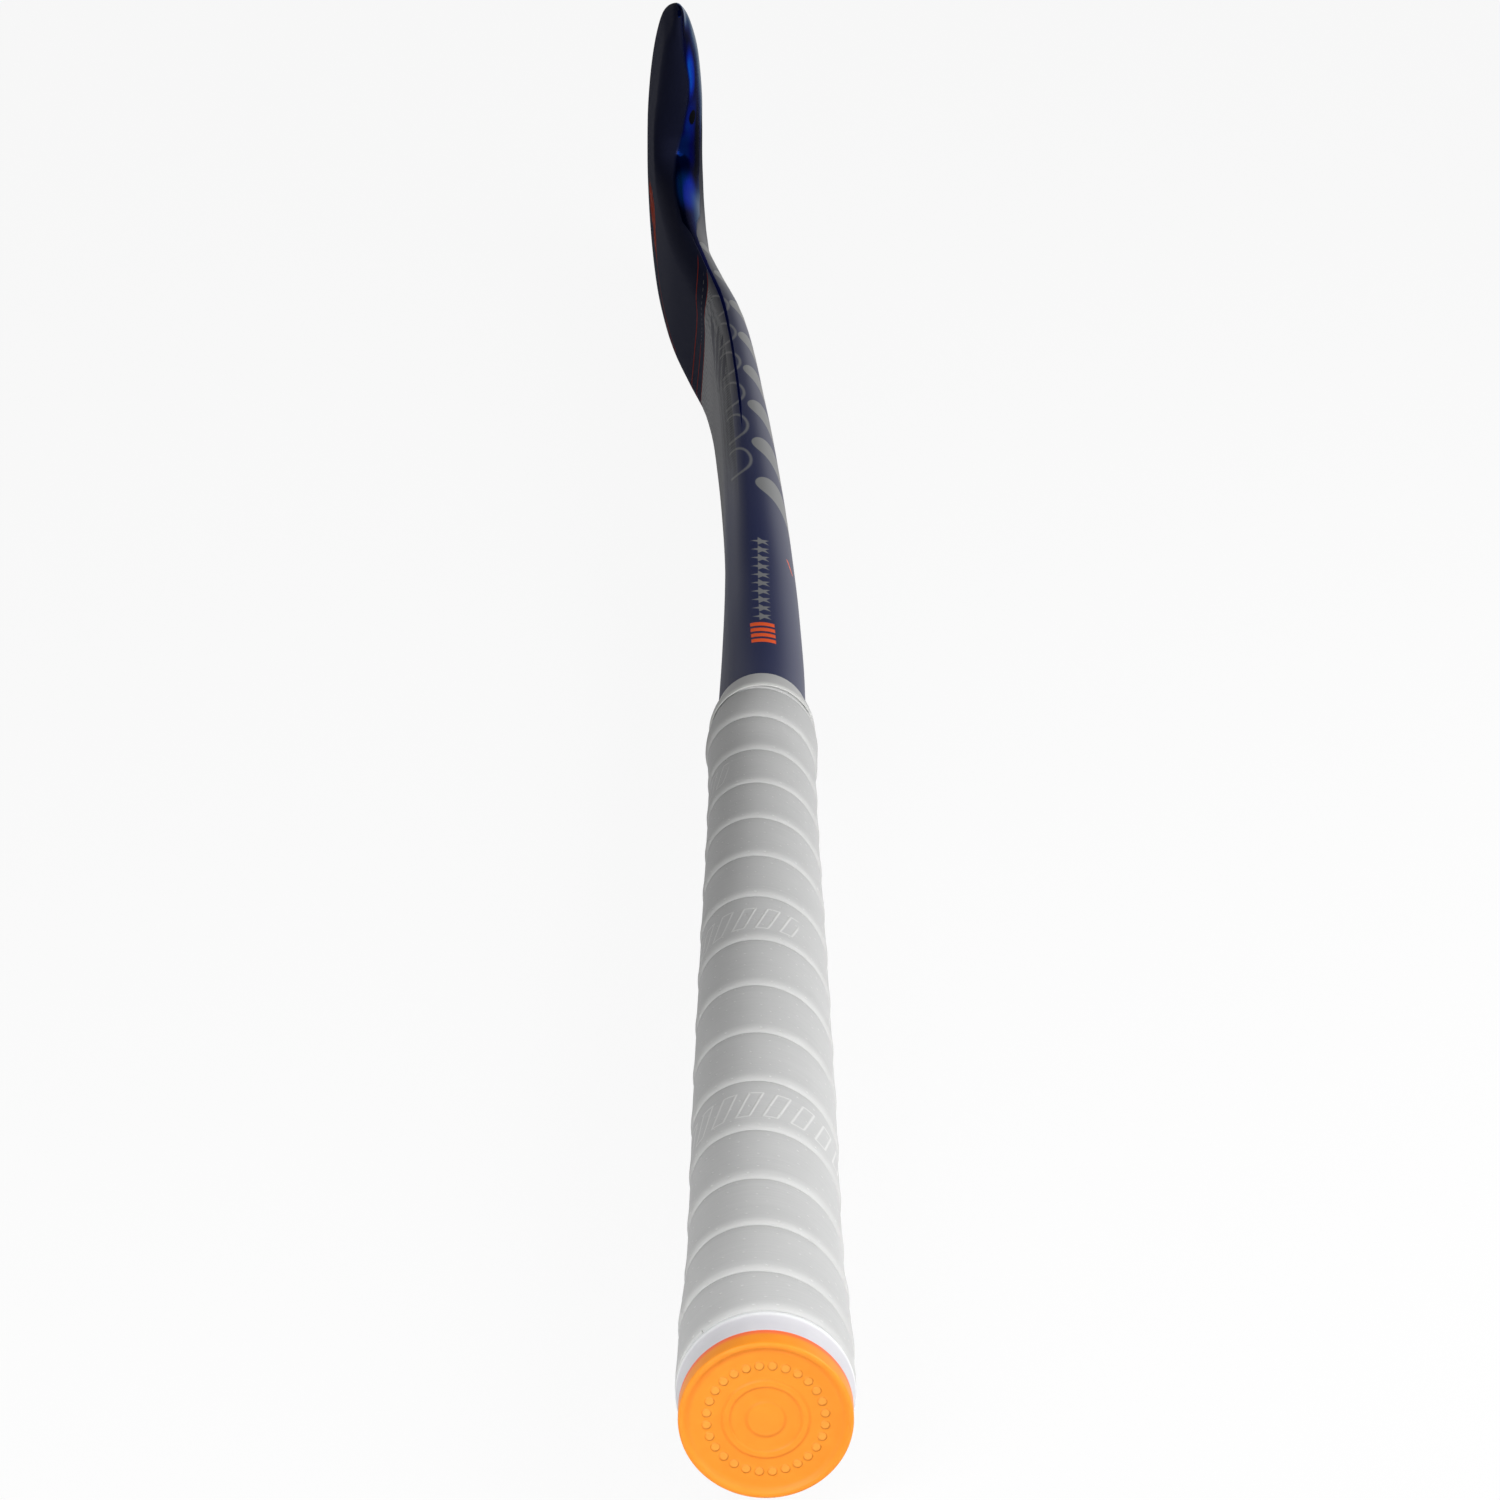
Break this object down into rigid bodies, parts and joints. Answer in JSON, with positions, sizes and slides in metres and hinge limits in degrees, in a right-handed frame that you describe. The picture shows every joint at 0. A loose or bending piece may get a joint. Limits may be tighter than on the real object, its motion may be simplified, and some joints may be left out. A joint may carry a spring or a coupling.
{
  "type": "indoor hockey stick",
  "caption": "Composite field-type hockey stick for indoor play: slim bowed shaft, hooked flat-faced head, wound cushioned handle grip and moulded butt cap.",
  "frame": {"origin": "middle of the bounding box's underside, with the stick lying on its heel edge and the toe pointing up", "axes": "+Y runs along the stick from the end cap to the head, +Z points the way the toe turns, -X is the way the flat playing face looks"},
  "size_m": [0.0602, 0.9356, 0.1154],
  "materials": {
    "laminate_navy": "lacquered carbon and glass fibre laminate, dark navy, satin on the face and glossy in the hook",
    "core_foam": "rigid closed-cell foam",
    "liner_film": "thin plastic pressure liner, smooth",
    "plug_foam": "dense expanded foam",
    "cap_orange": "moulded orange plastic, satin",
    "collar_white": "smooth white plastic, satin",
    "grip_grey": "soft perforated polyurethane, matte light grey",
    "band_grey": "stretched adhesive polyurethane band, matte light grey"
  },
  "bodies": {
    "root": {"shaft_and_head_shell": "laminate_navy", "head_foam_core": "core_foam", "shaft_liner": "liner_film", "handle_plug": "plug_foam", "end_cap": "cap_orange", "butt_collar": "collar_white", "grip_tape": "grip_grey", "finishing_band": "band_grey"}
  },
  "joints": []
}
